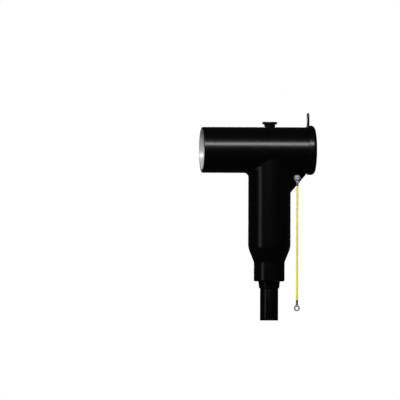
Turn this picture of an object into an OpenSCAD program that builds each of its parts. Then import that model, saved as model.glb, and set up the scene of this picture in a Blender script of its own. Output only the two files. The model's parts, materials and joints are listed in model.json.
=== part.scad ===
// Plug-on tee connector for a screened medium-voltage cable, for an outside-cone bushing.
// Millimetres. The origin is where the bushing axis, X, crosses the cable axis, Z.
// The socket mouth faces -X, the rear cap faces +X and the cable leaves downwards.

/* [Housing] */
// Outside diameter of the barrel
barrel_d = 75; // [72:0.5:84]
// Cable axis to the socket mouth
mouth_reach = 112; // [106:0.5:130]
// Cable axis to the rear mouth, under the cap
rear_reach = 66; // [62:0.5:80]
// Outside diameter of the leg
leg_d = 69.6; // [64:0.2:70]
// Bushing axis to the shoulder of the leg
leg_len = 160; // [155:0.5:200]
// Radius that rounds the shoulder
shoulder_r = 24; // [6:1:30]
// Length of the taper under the shoulder
taper_len = 23.5; // [18:0.5:40]
// Wall of the sleeve that grips the adapter
sleeve_wall = 4.1; // [3:0.1:6]
// Length of the sleeve
sleeve_len = 31.5; // [20:0.5:60]
// Rounding of the sleeve's lower edge
sleeve_edge_r = 2.2; // [0.5:0.1:2.8]
// Wall of the conductive outer screen
screen_t = 3; // [2:0.1:3.5]
// Radius of the blend between barrel and leg
blend_r = 7.5; // [4:0.5:9]
// Rounding of the screen's edge at the mouth
mouth_edge_r = 1.5; // [0.5:0.1:1.8]

/* [Bushing socket] */
// Recess for the collar of the bushing
collar_d = 62; // [59:0.5:64]
// Depth of that recess
collar_depth = 10; // [6:0.5:16]
// Widening of that recess at the mouth, on each side
lead_in = 1.2; // [0.5:0.1:1.5]
// Depth over which it widens
lead_in_depth = 6; // [3:0.5:8]
// Wide end of the cone
cone_d = 56; // [52:0.5:58]
// Narrow end of the cone
cone_tip_d = 46; // [44:0.5:48]
// Length of the cone
cone_len = 90; // [84:1:92]
// Wall of the conductive insert round the contact
insert_wall = 3; // [2:0.1:4]
// Half the length of that insert along the bushing axis
insert_half = 33; // [30:1:40]
// Reach of that insert down the leg
insert_drop = 104; // [98:1:115]

/* [Contact] */
// Diameter of the contact stud
stud_d = 16; // [14:0.5:18]
// Reach of the stud out of the lug, into the bushing
stud_reach = 30; // [22:1:40]
// Length of the stud's waist, from the lug's front face forwards
waist_len = 3; // [2:0.5:6]
// Length of the stud past the nut
stud_tail = 15; // [10:1:20]
// Thickness of the lug's palm
palm_t = 12; // [10:0.5:14]
// Width of the lug's palm
palm_w = 32; // [30:0.5:38]
// Diameter of the lug's barrel
lug_d = 28; // [26:0.5:32]
// Contact eye to the open end of the lug
lug_len = 95; // [90:1:100]
// Depth of the conductor in the lug
crimp_depth = 57; // [50:1:62]
// Diameter of the shear bolts
bolt_d = 12; // [10:0.5:14]
// First shear bolt from the open end of the lug
bolt_inset = 18; // [14:1:22]
// Distance between the shear bolts
bolt_pitch = 24; // [20:1:28]
// Flat washer, outside diameter
washer_d = 30; // [28:0.5:34]
// Flat washer, thickness
washer_t = 3; // [2:0.5:4]
// Spring washer, outside diameter
spring_d = 27; // [26:0.5:30]
// Spring washer, thickness
spring_t = 3.5; // [2.5:0.5:4]
// Nut, across the flats
nut_af = 24; // [24:0.5:28]
// Nut, height
nut_h = 13; // [11:0.5:15]

/* [Rear plug and cap] */
// Front of the plug past the nut
plug_gap = 1.3; // [0.5:0.1:3]
// Flange of the plug over the rear mouth
flange_d = 57; // [55:0.5:59]
// Thickness of that flange
flange_t = 2; // [1.5:0.1:3]
// Diameter of the threaded insert
bush_d = 25; // [24:0.5:28]
// Length of the threaded insert
bush_len = 20; // [18:0.5:21]
// Hexagon of the plug, across the flats
hex_af = 22; // [19:0.5:27]
// Height of that hexagon
hex_h = 2.7; // [2.5:0.1:4]
// Diameter of the hexagon's stem in the plug
hex_stem_d = 12; // [10:0.5:14]
// Wall of the cap's skirt
cap_wall = 2.7; // [2:0.1:4]
// Overlap of the skirt on the barrel
cap_skirt = 5; // [4:0.5:10]
// Thickness of the cap's end over the pocket
cap_end = 2.6; // [2.5:0.1:5]
// Rounding of the cap's rear edge
cap_edge_r = 5.5; // [2:0.5:8]
// Width of the pull tab
tab_w = 13; // [11:0.5:18]
// Thickness of the pull tab
tab_t = 3.2; // [2:0.1:3.5]
// Hole in the pull tab
tab_hole_d = 6.5; // [4:0.5:8]
// Height of that hole over the cap
tab_rise = 13.8; // [8:0.2:20]
// Front of the tab behind the skirt's edge
tab_setback = 0.7; // [0.5:0.1:2]

/* [Test point] */
// Height of the cap's top over the barrel
test_rise = 8.8; // [8:0.2:14]
// Head of the cap
test_head_d = 24.5; // [22:0.5:30]
// Thickness of the head
test_head_t = 4.5; // [3.5:0.1:5]
// Neck of the cap
test_neck_d = 18; // [16:0.2:20]
// Insulating boss under the cap
test_boss_d = 13.2; // [12:0.2:14]
// Top of the cap over its bore
test_top_t = 2.6; // [2:0.1:3.2]
// Pin of the test electrode
electrode_d = 6; // [4:0.5:8]
// Foot of the test electrode, in the insulation
foot_d = 10; // [8.5:0.5:12]
// Thickness of that foot
foot_t = 1.5; // [1:0.1:2]

/* [Cable and adapter] */
// Outside diameter of the adapter
adapter_d = 42; // [38:0.5:45]
// Wall of the adapter's tail at its end
tail_wall = 1.5; // [1:0.1:2]
// How much further out the tail is where it leaves the sleeve
tail_flare = 1.2; // [0.4:0.1:2]
// Length of the tail under the sleeve
tail_len = 11.5; // [6:0.5:20]
// Height of the adapter's lower shoulder
adapter_shoulder = 7; // [4:0.5:12]
// Adapter's top under the end of the cable insulation
adapter_setback = 8; // [4:0.5:16]
// Wall of the cable sheath
sheath_wall = 1.15; // [0.8:0.05:1.6]
// Length of cable under the adapter
stub_len = 52.5; // [30:0.5:120]
// Length of sheath held in the adapter
sheath_hold = 22; // [12:1:30]
// How far the adapter squeezes the sheath
sheath_grip = 0.25; // [0.1:0.05:0.4]
// Wall of the cable insulation
insulation_wall = 6; // [5:0.1:6.5]
// Thickness of the core screen
core_screen_t = 0.9; // [0.6:0.1:1.2]
// Length of core screen held in the adapter above the sheath
core_hold = 54; // [40:1:60]
// Bare conductor between lug and insulation
bare_gap = 3; // [1:0.5:5]
// Diameter of the conductor
conductor_d = 11.4; // [10:0.2:12.4]
// Strands in the conductor's outer layer
strands = 12; // [8:1:18]
// Wires in the copper screen
screen_wire_count = 30; // [16:1:36]
// Diameter of those wires
screen_wire_d = 1; // [0.6:0.1:1.1]

/* [Earth connection] */
// Thickness of the web
web_t = 10; // [8:0.5:14]
// Depth of the web's end under the barrel
web_lip = 2.1; // [1:0.1:6]
// Depth of the web's root under the barrel
web_drop = 31.8; // [26:0.1:40]
// Gap between the web and the cap's skirt
web_gap = 1; // [0.6:0.1:2]
// Rounding of the web's edges
web_edge_r = 2.5; // [1:0.5:3.5]
// Earth eye from the side of the leg
eye_out = 10.2; // [9:0.2:14]
// Earth eye under the barrel
eye_drop = 8; // [6.5:0.1:9]
// Outside diameter of the eyelet's tube
eyelet_d = 6.6; // [6.2:0.1:8]
// Bore of the eyelet
eyelet_bore = 4.6; // [4.4:0.1:5.4]
// Flanges of the eyelet
eyelet_flange_d = 9.5; // [9:0.5:12.5]
// Thickness of those flanges
eyelet_flange_t = 0.8; // [0.5:0.1:1.2]
// Diameter of the earth screw
screw_d = 4; // [3.5:0.1:4.2]
// Head of the earth screw
screw_head_d = 7.8; // [7:0.1:10]
// Height of that head
screw_head_h = 2.8; // [2.4:0.1:4]
// Socket in that head, across the flats
screw_socket_af = 2.5; // [2:0.5:3]
// Earth nut, across the flats
earth_nut_af = 7; // [6.5:0.5:10]
// Earth nut, height
earth_nut_h = 3.2; // [2.4:0.2:5]
// Earth washer, outside diameter
earth_washer_d = 9; // [8:0.5:12]
// Earth washer, thickness
earth_washer_t = 1; // [0.8:0.1:1.5]
// Ring of the terminals
ring_d = 10; // [9.4:0.1:13]
// Hole of the terminals
ring_hole_d = 4.6; // [4.4:0.1:5.4]
// Thickness of the terminals' ring
ring_t = 1; // [0.8:0.1:1.4]
// Barrel of the terminals
crimp_d = 3.8; // [3.6:0.1:5]
// Length of that barrel
crimp_len = 5.8; // [5:0.2:9]
// Eye of a terminal to its barrel
crimp_reach = 7.6; // [7.6:0.1:10]
// Diameter of the earth lead
lead_d = 3.5; // [3:0.1:4]

/* [Hidden] */
$fn = 96;

// Clearances
bond_gap = 0.05;
fit_gap = 0.15;
run_gap = 0.3;
thread_gap = 0.1;
bolt_gap = 0.5;
// How far a cutting shape runs past the face that it opens
over = 1;

barrel_r = barrel_d / 2;
leg_r = leg_d / 2;
taper_end = leg_len + taper_len;
sleeve_end = taper_end + sleeve_len;
bore_r = adapter_d / 2 + fit_gap;
sleeve_r = bore_r + sleeve_wall;
// Hollow blend where the taper meets the sleeve
taper_foot_r = 2;
// Thin end of the insulation inside the taper
feather_t = 1;
// Least wall and least depth left at the lead-in of the socket
rim_least = 0.8;

// Socket cones: both widen by the same slope
cone_slope = (cone_d - cone_tip_d) / 2 / cone_len;
cone_start = collar_depth - mouth_reach;
lead_in_end = min(lead_in_depth, collar_depth - rim_least) - mouth_reach;
lead_in_r = min(collar_d / 2 + lead_in, barrel_r - screen_t - rim_least);
cone_tip = cone_start + cone_len;
function front_cone_r(x) = cone_tip_d / 2 + cone_slope * max(0, cone_tip - x);
function rear_cone_r(x) = cone_tip_d / 2 + cone_slope * max(0, x - rear_cone_start);

// Stack on the stud, behind the lug
palm_face = palm_t / 2;
washer_end = palm_face + washer_t;
spring_end = washer_end + spring_t;
nut_end = spring_end + nut_h;
stud_end = nut_end + stud_tail;
rear_cone_start = spring_end;
plug_front = nut_end + plug_gap;
flange_start = rear_reach + run_gap;
flange_end = flange_start + flange_t;
hex_end = flange_end + hex_h;
hex_stem_len = 14;
hex_foot_d = 18;
hex_foot_t = 2;
thread_depth = stud_end + 2;

// Rear cap
cap_r = barrel_r + run_gap + cap_wall;
cap_seat = rear_reach + run_gap;
cap_pocket_r = flange_d / 2 + 2 * run_gap;
cap_pocket_end = hex_end + run_gap;
cap_back = cap_pocket_end + cap_end;
cap_front = rear_reach - cap_skirt;

// Test point
test_top = barrel_r + test_rise;
test_bore_top = test_top - test_top_t;
electrode_top = test_bore_top - run_gap;
// Electrode's pin over its boss, and its foot under the screen
pin_rise = 0.6;
foot_depth = 4;
boss_top = electrode_top - pin_rise;
foot_bottom = barrel_r - screen_t - foot_depth;

// Cable
cable_top = lug_len + bare_gap;
adapter_top = cable_top + adapter_setback;
tail_end = sleeve_end + tail_len;
cable_end = tail_end + stub_len;
sheath_top = tail_end - sheath_hold;
core_top = sheath_top - core_hold;
insulation_r = conductor_d / 2 + insulation_wall;
core_r = insulation_r + core_screen_t;
wire_ring = core_r + bond_gap + screen_wire_d / 2;
sheath_bore = wire_ring + screen_wire_d / 2 + thread_gap;
sheath_r = sheath_bore + sheath_wall;
grip_r = sheath_r - sheath_grip;
grip_end = tail_end + 0.5;
tail_end_r = sheath_r + fit_gap + tail_wall;
tail_r = tail_end_r + tail_flare;
// Strands lie side by side round the conductor, a hair apart
strand_gap = 0.05;
strand_pitch = sin(180 / strands);
strand_d = (conductor_d * strand_pitch - strand_gap) / (1 + strand_pitch);
strand_ring = (conductor_d - strand_d) / 2;

// Earth connection
web_end = cap_front - web_gap;
eye_x = leg_r + eye_out;
eye_z = -barrel_r - eye_drop;
flange_y = web_t / 2 + eyelet_flange_t;
ring_y = flange_y + ring_t;
crimp_offset = (crimp_d - ring_t) / 2;
lead_y = -flange_y - ring_t / 2 - crimp_offset;
terminal_len = crimp_reach + crimp_len;
lead_exit = [eye_x, lead_y, eye_z - terminal_len];
// Points of the lead, from where it leaves the upper terminal
lead_points = [[0, 0, 0], [0, 0, -5], [0, 0, -15], [0, 0, -25], [0, 0, -35], [0, 0, -45], [0, 0, -55],
    [0, 0, -65], [0, 0, -75], [0, 0, -85], [0, 0, -95], [0, 0, -105], [0, 0, -115], [0, 0, -125],
    [0, 0, -135], [0, 0, -145], [0, 0, -155], [0, 0, -165], [0, 0, -175], [0, 0, -186.5]];
lead_sides = 8;

// Outline helpers: a path is a list of [x, y, corner radius]
function unit(v) = v / norm(v);
function point2(p) = [p[0], p[1]];
function turn(from, to) = (to - from + 540) % 360 - 180;
function corner(before, at, after, r, steps) =
    r <= 0 ? [at] :
    let (u = unit(before - at), w = unit(after - at), half = acos(u * w) / 2)
    let (centre = at + unit(u + w) * r / sin(half))
    let (p = at + u * r / tan(half) - centre, q = at + w * r / tan(half) - centre)
    let (start = atan2(p[1], p[0]), sweep = turn(start, atan2(q[1], q[0])))
    [for (i = [0:steps]) centre + r * [cos(start + sweep * i / steps), sin(start + sweep * i / steps)]];
function rounded(path, steps = 5) =
    let (n = len(path), points = [for (p = path) point2(p)])
    [for (i = [0:n - 1])
        each corner(points[(i + n - 1) % n], points[i], points[(i + 1) % n], path[i][2], steps)];

// Turns a shape made along Z to lie along +X
module along_x() {
    rotate([0, 90, 0]) children();
}

// Turns a shape made along Z to point at the viewer, along -Y
module along_minus_y() {
    rotate([90, 0, 0]) children();
}

// Cylinder along X between two stations
module bar_x(from, to, r) {
    translate([from, 0, 0]) along_x() cylinder(h = to - from, r = r);
}

// Cylinder down Z between two depths under the bushing axis
module bar_down(from, to, r) {
    translate([0, 0, -to]) cylinder(h = to - from, r = r);
}

// Ring down Z between two depths
module tube_down(from, to, r, bore) {
    difference() {
        bar_down(from, to, r);
        bar_down(from - over, to + over, bore);
    }
}

// Hexagon along Z, given across its flats
module hexagon(af, h) {
    cylinder(h = h, d = af / cos(30), $fn = 6);
}

// Rolling-ball blend between the barrel and the leg
blend_steps = 60;
blend_arc = 5;
blend_sink = 0.15;
blend_depth = 2;
function ball(a) =
    let (x = (leg_r + blend_r) * cos(a), y = (leg_r + blend_r) * sin(a))
    [x, y, -sqrt(pow(barrel_r + blend_r, 2) - y * y)];
function to_leg(a) = [-cos(a), -sin(a), 0];
function to_barrel(a) = -[0, ball(a)[1], ball(a)[2]] / (barrel_r + blend_r);
function blend_dir(a, t) =
    let (angle = acos(to_leg(a) * to_barrel(a)))
    (sin((1 - t) * angle) * to_leg(a) + sin(t * angle) * to_barrel(a)) / sin(angle);
function blend_root(a) =
    let (r = leg_r - blend_depth, y = r * sin(a))
    [r * cos(a), y, -sqrt(pow(barrel_r - blend_depth, 2) - y * y)];
function blend_section(a) = concat(
    [blend_root(a)],
    [ball(a) + (blend_r + blend_sink) * to_leg(a)],
    [for (i = [1:blend_arc - 1]) ball(a) + blend_r * blend_dir(a, i / blend_arc)],
    [ball(a) + (blend_r + blend_sink) * to_barrel(a)]);

// Triangles between rings of points; closed loops join the last ring to the first
function ring_faces(rings, size, closed) =
    [for (i = [0:(closed ? rings - 1 : rings - 2)], j = [0:size - 1])
        let (a = i * size, b = ((i + 1) % rings) * size, k = (j + 1) % size)
        each [[a + j, b + k, b + j], [a + j, a + k, b + k]]];

module barrel_blend() {
    sections = [for (i = [0:blend_steps - 1]) blend_section(360 * i / blend_steps)];
    points = [for (s = sections) each s];
    polyhedron(points, ring_faces(blend_steps, len(sections[0]), true));
}

// Outside of the leg, with its shoulder, taper and sleeve
module leg_outside() {
    rotate_extrude() polygon(rounded([
        [0, 0, 0],
        [leg_r, 0, 0],
        [leg_r, -leg_len, shoulder_r],
        [sleeve_r, -taper_end, taper_foot_r],
        [sleeve_r, -sleeve_end, sleeve_edge_r],
        [0, -sleeve_end, 0]]));
}

// Outside of the insulation in the leg
module leg_insulation(gap = 0) {
    r = leg_r - screen_t + gap;
    rotate_extrude() polygon(rounded([
        [0, 0, 0],
        [r, 0, 0],
        [r, -leg_len, shoulder_r - screen_t],
        [bore_r + feather_t + gap, -taper_end - gap, 0],
        [0, -taper_end - gap, 0]]));
}

// Web that carries the earth connection, with rounded edges
module earth_web() {
    root = leg_r - screen_t / 2;
    top = -barrel_r + screen_t / 2;
    end = web_end - web_edge_r;
    side = web_t / 2 - web_edge_r;
    fall = (web_drop - web_lip) / (web_end - leg_r);
    inset = web_edge_r * sqrt(1 + fall * fall);
    edge = -barrel_r - web_lip - fall * web_end + inset;
    corners = [[root, top], [end, top], [end, edge + fall * end], [root, edge + fall * root]];
    hull() for (c = corners, y = [-side, side])
        translate([c[0], y, c[1]]) sphere(r = web_edge_r, $fn = 24);
}

// Outside of the barrel, with its rounded edge at the mouth
module barrel_outside() {
    along_x() rotate_extrude() polygon(rounded([
        [0, -mouth_reach, 0],
        [barrel_r, -mouth_reach, mouth_edge_r],
        [barrel_r, rear_reach, 0],
        [0, rear_reach, 0]]));
}

module outer_screen() {
    color([0.06, 0.06, 0.06]) difference() {
        union() {
            barrel_outside();
            leg_outside();
            barrel_blend();
            earth_web();
        }
        bar_x(-mouth_reach - over, rear_reach + over, barrel_r - screen_t + bond_gap);
        leg_insulation(bond_gap);
        bar_down(0, sleeve_end + over, bore_r);
        cylinder(h = barrel_r + over, r = test_boss_d / 2 + bond_gap);
        translate([eye_x, web_t, eye_z]) along_minus_y()
            cylinder(h = 2 * web_t, d = eyelet_d + 2 * bond_gap);
    }
}

// Widening of the recess towards the mouth, carried on past it at the same slope
module lead_in_hollow() {
    slope = (lead_in_r - collar_d / 2) / (lead_in_end + mouth_reach);
    translate([-mouth_reach - over, 0, 0]) along_x()
        cylinder(h = lead_in_end + mouth_reach + over, r1 = lead_in_r + slope * over, r2 = collar_d / 2);
}

// Hollow of the tee: front socket, contact chamber, rear socket and cable bore
module socket_hollow() {
    bar_x(-mouth_reach - over, cone_start, collar_d / 2);
    lead_in_hollow();
    translate([cone_start, 0, 0]) along_x() cylinder(h = cone_len, r1 = cone_d / 2, r2 = cone_tip_d / 2);
    bar_x(cone_tip - over, rear_cone_start + over, cone_tip_d / 2);
    translate([rear_cone_start, 0, 0]) along_x() cylinder(h = rear_reach + over - rear_cone_start,
        r1 = cone_tip_d / 2, r2 = rear_cone_r(rear_reach + over));
    bar_down(0, taper_end + over, bore_r);
}

module insert_outside(gap = 0) {
    r = max(front_cone_r(-insert_half), rear_cone_r(insert_half)) + insert_wall + gap;
    bar_x(-insert_half - gap, insert_half + gap, r);
    bar_down(0, insert_drop + gap, bore_r + insert_wall + gap);
}

module insulating_body() {
    color([0.62, 0.63, 0.64]) difference() {
        union() {
            bar_x(-mouth_reach, rear_reach, barrel_r - screen_t);
            leg_insulation();
            translate([0, 0, foot_bottom]) cylinder(h = boss_top - foot_bottom, d = test_boss_d);
        }
        socket_hollow();
        insert_outside(bond_gap);
        electrode_shape(bond_gap);
    }
}

module inner_screen() {
    color([0.1, 0.1, 0.1]) difference() {
        insert_outside();
        socket_hollow();
    }
}

module electrode_shape(gap = 0) {
    translate([0, 0, foot_bottom - gap]) cylinder(h = foot_t + 2 * gap, r = foot_d / 2 + gap);
    translate([0, 0, foot_bottom]) cylinder(h = electrode_top - foot_bottom, r = electrode_d / 2 + gap);
}

module test_electrode() {
    color("goldenrod") electrode_shape();
}

module test_point_cap() {
    head_bottom = test_top - test_head_t;
    rim = 1.2;
    color([0.08, 0.08, 0.08]) difference() {
        rotate_extrude() polygon(rounded([
            [0, test_top, 0],
            [test_head_d / 2, test_top, rim],
            [test_head_d / 2, head_bottom, rim],
            [test_neck_d / 2, head_bottom, 0.8],
            [test_neck_d / 2, barrel_r - screen_t, 0],
            [0, barrel_r - screen_t, 0]]));
        bar_x(-test_head_d, test_head_d, barrel_r + run_gap);
        cylinder(h = test_bore_top, r = test_boss_d / 2 + run_gap);
    }
}

module cable_lug() {
    neck = 10;
    root = lug_len - crimp_depth - neck;
    color([0.75, 0.76, 0.78]) difference() {
        union() {
            translate([-palm_face, 0, 0]) along_x() cylinder(h = palm_t, d = palm_w);
            translate([-palm_face, -palm_w / 2, -root]) cube([palm_t, palm_w, root]);
            bar_down(root, lug_len, lug_d / 2);
            translate([0, 0, -root]) cylinder(h = neck, d1 = lug_d, d2 = palm_t);
        }
        bar_x(-palm_t, palm_t, stud_d / 2 + bolt_gap);
        bar_down(lug_len - crimp_depth, lug_len + over, conductor_d / 2 + run_gap);
        lug_bolts(thread_gap, over);
    }
}

// The two shear bolts, from the conductor outwards
module lug_bolts(gap = 0, extra = 0) {
    start = conductor_d / 2 + thread_gap - extra;
    for (i = [0:1])
        translate([start, 0, bolt_inset + i * bolt_pitch - lug_len]) along_x()
            cylinder(h = lug_d / 2 + 1 + extra - start, r = bolt_d / 2 + gap);
}

module shear_bolts() {
    color([0.72, 0.62, 0.4]) lug_bolts();
}

module contact_stud() {
    tip = 1.5;
    waist_r = stud_d / 2 - 1.2;
    color([0.7, 0.71, 0.73]) along_x() rotate_extrude() polygon([
        [0, -palm_face - stud_reach],
        [stud_d / 2 - tip, -palm_face - stud_reach],
        [stud_d / 2, -palm_face - stud_reach + tip],
        [stud_d / 2, -palm_face - waist_len],
        [waist_r, -palm_face - waist_len],
        [waist_r, palm_face - waist_len],
        [stud_d / 2, palm_face - waist_len],
        [stud_d / 2, stud_end - tip],
        [stud_d / 2 - tip, stud_end],
        [0, stud_end]]);
}

module flat_washer() {
    color([0.7, 0.7, 0.72]) difference() {
        bar_x(palm_face, washer_end, washer_d / 2);
        bar_x(palm_face - over, washer_end + over, stud_d / 2 + bolt_gap);
    }
}

module spring_washer() {
    split = 2.5;
    color([0.55, 0.55, 0.57]) difference() {
        bar_x(washer_end, spring_end, spring_d / 2);
        bar_x(washer_end - over, spring_end + over, stud_d / 2 + run_gap);
        translate([washer_end - over, -split / 2, 0]) cube([spring_t + 2 * over, split, spring_d]);
    }
}

module stud_nut() {
    color([0.68, 0.69, 0.7]) difference() {
        translate([spring_end, 0, 0]) along_x() hexagon(nut_af, nut_h);
        bar_x(spring_end - over, nut_end + over, stud_d / 2 + thread_gap);
    }
}

module hex_shape(gap = 0) {
    bar_x(flange_end - hex_stem_len, flange_end, hex_stem_d / 2 + gap);
    foot = flange_end - hex_stem_len;
    bar_x(foot - gap, foot + hex_foot_t + gap, hex_foot_d / 2 + gap);
}

module rear_plug() {
    front_r = rear_cone_r(plug_front) - fit_gap;
    rear_r = rear_cone_r(rear_reach) - fit_gap;
    color([0.5, 0.34, 0.24]) difference() {
        along_x() rotate_extrude() polygon(rounded([
            [0, plug_front, 0],
            [front_r, plug_front, 1],
            [rear_r, rear_reach, 0],
            [rear_r, flange_start, 0],
            [flange_d / 2, flange_start, 0],
            [flange_d / 2, flange_end, 0.6],
            [0, flange_end, 0]]));
        bar_x(plug_front - over, plug_front + bush_len + bond_gap, bush_d / 2 + bond_gap);
        hex_shape(bond_gap);
    }
}

module plug_insert() {
    color("goldenrod") difference() {
        bar_x(plug_front, plug_front + bush_len, bush_d / 2);
        bar_x(plug_front - over, thread_depth, stud_d / 2 + thread_gap);
    }
}

module plug_hex() {
    color([0.78, 0.79, 0.8]) {
        hex_shape();
        translate([flange_end, 0, 0]) along_x() hexagon(hex_af, hex_h);
    }
}

module rear_cap() {
    skirt_edge_r = 0.8;
    tab_base = barrel_r + run_gap + cap_wall / 3;
    hole_z = cap_r + tab_rise;
    color([0.09, 0.09, 0.09]) difference() {
        union() {
            along_x() rotate_extrude() polygon(rounded([
                [0, cap_pocket_end, 0],
                [cap_pocket_r, cap_pocket_end, 0],
                [cap_pocket_r, cap_seat, 0],
                [barrel_r + run_gap, cap_seat, 0],
                [barrel_r + run_gap, cap_front, skirt_edge_r],
                [cap_r, cap_front, skirt_edge_r],
                [cap_r, cap_back, cap_edge_r],
                [0, cap_back, 0]]));
            translate([cap_front + tab_setback, 0, 0]) {
                translate([0, -tab_w / 2, tab_base]) cube([tab_t, tab_w, hole_z - tab_base]);
                translate([0, 0, hole_z]) along_x() cylinder(h = tab_t, d = tab_w);
            }
        }
        translate([cap_front, 0, hole_z]) along_x() cylinder(h = 2 * tab_t + tab_setback, d = tab_hole_d);
    }
}

// Stranded conductor: a core with a layer of strands let into its outside
module conductor() {
    color([0.8, 0.8, 0.82]) {
        bar_down(lug_len - crimp_depth, cable_end, strand_ring - strand_d / 4);
        for (i = [0:strands - 1]) rotate(i * 360 / strands) translate([strand_ring, 0, 0])
            bar_down(lug_len - crimp_depth, cable_end, strand_d / 2);
    }
}

module cable_insulation() {
    color([0.9, 0.88, 0.82])
        tube_down(cable_top, cable_end, insulation_r, conductor_d / 2 + bond_gap);
}

module core_screen() {
    color([0.12, 0.12, 0.12]) tube_down(core_top, cable_end, core_r, insulation_r + bond_gap);
}

module screen_wires() {
    color([0.72, 0.45, 0.3]) for (i = [0:screen_wire_count - 1])
        rotate(i * 360 / screen_wire_count) translate([wire_ring, 0, 0])
            bar_down(sheath_top, cable_end, screen_wire_d / 2);
}

module cable_sheath() {
    color([0.07, 0.07, 0.07]) difference() {
        union() {
            bar_down(sheath_top, cable_end, grip_r);
            bar_down(grip_end, cable_end, sheath_r);
        }
        bar_down(sheath_top - over, cable_end + over, sheath_bore);
    }
}

module cable_adapter() {
    nose_inset = 4;
    nose_len = 12;
    color([0.1, 0.1, 0.1]) difference() {
        rotate_extrude() polygon(rounded([
            [0, -adapter_top, 0],
            [adapter_d / 2 - nose_inset, -adapter_top, 2],
            [adapter_d / 2, -adapter_top - nose_len, 6],
            [adapter_d / 2, -sleeve_end + adapter_shoulder, 2],
            [tail_r, -sleeve_end, 2],
            [tail_end_r, -tail_end, 0.6],
            [0, -tail_end, 0]]));
        bar_down(sheath_top - run_gap, tail_end + over, grip_r + fit_gap);
        bar_down(core_top - run_gap, tail_end, core_r + fit_gap);
        bar_down(adapter_top - over, tail_end, insulation_r + fit_gap);
    }
}

module earth_eyelet() {
    color([0.75, 0.75, 0.76]) translate([eye_x, 0, eye_z]) along_minus_y() difference() {
        union() {
            cylinder(h = web_t, d = eyelet_d, center = true);
            for (side = [-1, 1]) translate([0, 0, side * (flange_y - eyelet_flange_t / 2)])
                cylinder(h = eyelet_flange_t, d = eyelet_flange_d, center = true);
        }
        cylinder(h = 2 * web_t, d = eyelet_bore, center = true);
    }
}

module earth_screw() {
    tail = flange_y + earth_washer_t + earth_nut_h + 1.2;
    tip = 0.6;
    rim_h = screw_head_h * 0.36;
    crown_r = screw_head_d * 0.32;
    color([0.76, 0.77, 0.78]) translate([eye_x, 0, eye_z]) along_minus_y() difference() {
        rotate_extrude() polygon(rounded([
            [0, -tail, 0],
            [screw_d / 2 - tip, -tail, 0],
            [screw_d / 2, -tail + tip, 0],
            [screw_d / 2, ring_y, 0],
            [screw_head_d / 2, ring_y, 0.3],
            [screw_head_d / 2, ring_y + rim_h, screw_head_h / 2],
            [crown_r, ring_y + screw_head_h, screw_head_h / 2],
            [0, ring_y + screw_head_h, 0]]));
        translate([0, 0, ring_y + rim_h]) hexagon(screw_socket_af, screw_head_h);
    }
}

module earth_washer() {
    back = flange_y + earth_washer_t;
    color([0.7, 0.7, 0.72]) translate([eye_x, back, eye_z]) along_minus_y() difference() {
        cylinder(h = earth_washer_t, d = earth_washer_d);
        translate([0, 0, -over]) cylinder(h = earth_washer_t + 2 * over, d = screw_d + 2 * thread_gap);
    }
}

module earth_nut() {
    back = flange_y + earth_washer_t + earth_nut_h;
    color([0.7, 0.7, 0.72]) translate([eye_x, back, eye_z]) along_minus_y() difference() {
        hexagon(earth_nut_af, earth_nut_h);
        translate([0, 0, -over]) cylinder(h = earth_nut_h + 2 * over, d = screw_d + 2 * thread_gap);
    }
}

// Ring terminal with its eye at the origin and its barrel downwards.
// The neck runs off the ring at a tangent, then ramps up to the barrel.
module ring_terminal() {
    ramp = 1.6;
    slice = 0.4;
    neck = [crimp_d / 2, crimp_reach - ramp];
    touch = atan2(neck[1], neck[0]) - acos(ring_d / 2 / norm(neck));
    side = ring_d / 2 * [cos(touch), sin(touch)];
    difference() {
        union() {
            translate([0, ring_t / 2, 0]) along_minus_y() {
                cylinder(h = ring_t, d = ring_d);
                linear_extrude(ring_t) polygon([
                    [-side[0], -side[1]],
                    [side[0], -side[1]],
                    [neck[0], -neck[1]],
                    [-neck[0], -neck[1]]]);
            }
            hull() {
                translate([-neck[0], -ring_t / 2, -neck[1]]) cube([crimp_d, ring_t, slice / 2]);
                translate([0, -crimp_offset, -crimp_reach - slice])
                    cylinder(h = slice, d = crimp_d, $fn = 32);
            }
            translate([0, -crimp_offset, -terminal_len]) cylinder(h = crimp_len, d = crimp_d);
        }
        translate([0, ring_t, 0]) along_minus_y() cylinder(h = 2 * ring_t, d = ring_hole_d);
    }
}

module upper_terminal() {
    color([0.66, 0.68, 0.71]) translate([eye_x, -flange_y - ring_t / 2, eye_z]) ring_terminal();
}

module earth_lead() {
    r = lead_d / 2;
    points = [for (p = lead_points, i = [0:lead_sides - 1])
        lead_exit + p + r * [cos(i * 360 / lead_sides), sin(i * 360 / lead_sides), 0]];
    rings = len(lead_points);
    last = (rings - 1) * lead_sides;
    ends = [[for (i = [0:lead_sides - 1]) lead_sides - 1 - i], [for (i = [0:lead_sides - 1]) last + i]];
    color([0.95, 0.85, 0.25]) polyhedron(points, concat(ring_faces(rings, lead_sides, false), ends));
}

module lower_terminal() {
    end = lead_exit + lead_points[len(lead_points) - 1];
    color([0.66, 0.68, 0.71]) translate([end[0], end[1] + crimp_offset, end[2] - terminal_len])
        rotate([0, 180, 0]) ring_terminal();
}

outer_screen();
insulating_body();
inner_screen();
test_electrode();
test_point_cap();
cable_lug();
shear_bolts();
contact_stud();
flat_washer();
spring_washer();
stud_nut();
rear_plug();
plug_insert();
plug_hex();
rear_cap();
conductor();
cable_insulation();
core_screen();
screen_wires();
cable_sheath();
cable_adapter();
earth_eyelet();
earth_screw();
earth_washer();
earth_nut();
upper_terminal();
earth_lead();
lower_terminal();
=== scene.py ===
"""Dresses a plug-on tee connector for a screened cable: rubber housing, caps, earth lead and cable end."""
import json
from math import acos, asin, atan2, cos, hypot, pi, radians, sin, sqrt, tan

import bmesh
import bpy
from bpy.props import FloatProperty, FloatVectorProperty, IntProperty, PointerProperty
from bpy.types import Operator, Panel, PropertyGroup
from mathutils import Matrix, Vector


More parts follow.
